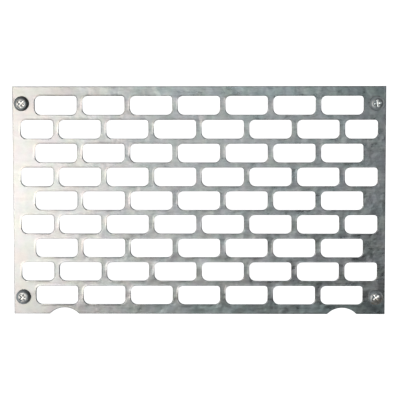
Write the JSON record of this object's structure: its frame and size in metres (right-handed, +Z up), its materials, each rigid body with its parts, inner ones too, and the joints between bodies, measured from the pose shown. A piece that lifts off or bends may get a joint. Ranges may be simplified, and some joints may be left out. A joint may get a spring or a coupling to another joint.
{
  "type": "perforated mounting sheet",
  "caption": "Flat zinc-coated steel sheet with staggered rounded slots, round notches in one long edge and pan-head screws in its corners.",
  "frame": {"origin": "on the floor under the middle of the sheet, which lies face up on its screw tips", "axes": "+X along the long side, +Y across the sheet towards the long edge without notches, +Z up out of the face that carries the screw heads"},
  "size_m": [0.1956, 0.12, 0.0108],
  "materials": {
    "sheet": "zinc coated, dull and finely mottled",
    "screw": "bright zinc plating"
  },
  "bodies": {
    "root": {"perforated_sheet": "sheet", "screw_top_left": "screw", "screw_top_right": "screw", "screw_bottom_left": "screw", "screw_bottom_right": "screw"}
  },
  "joints": []
}
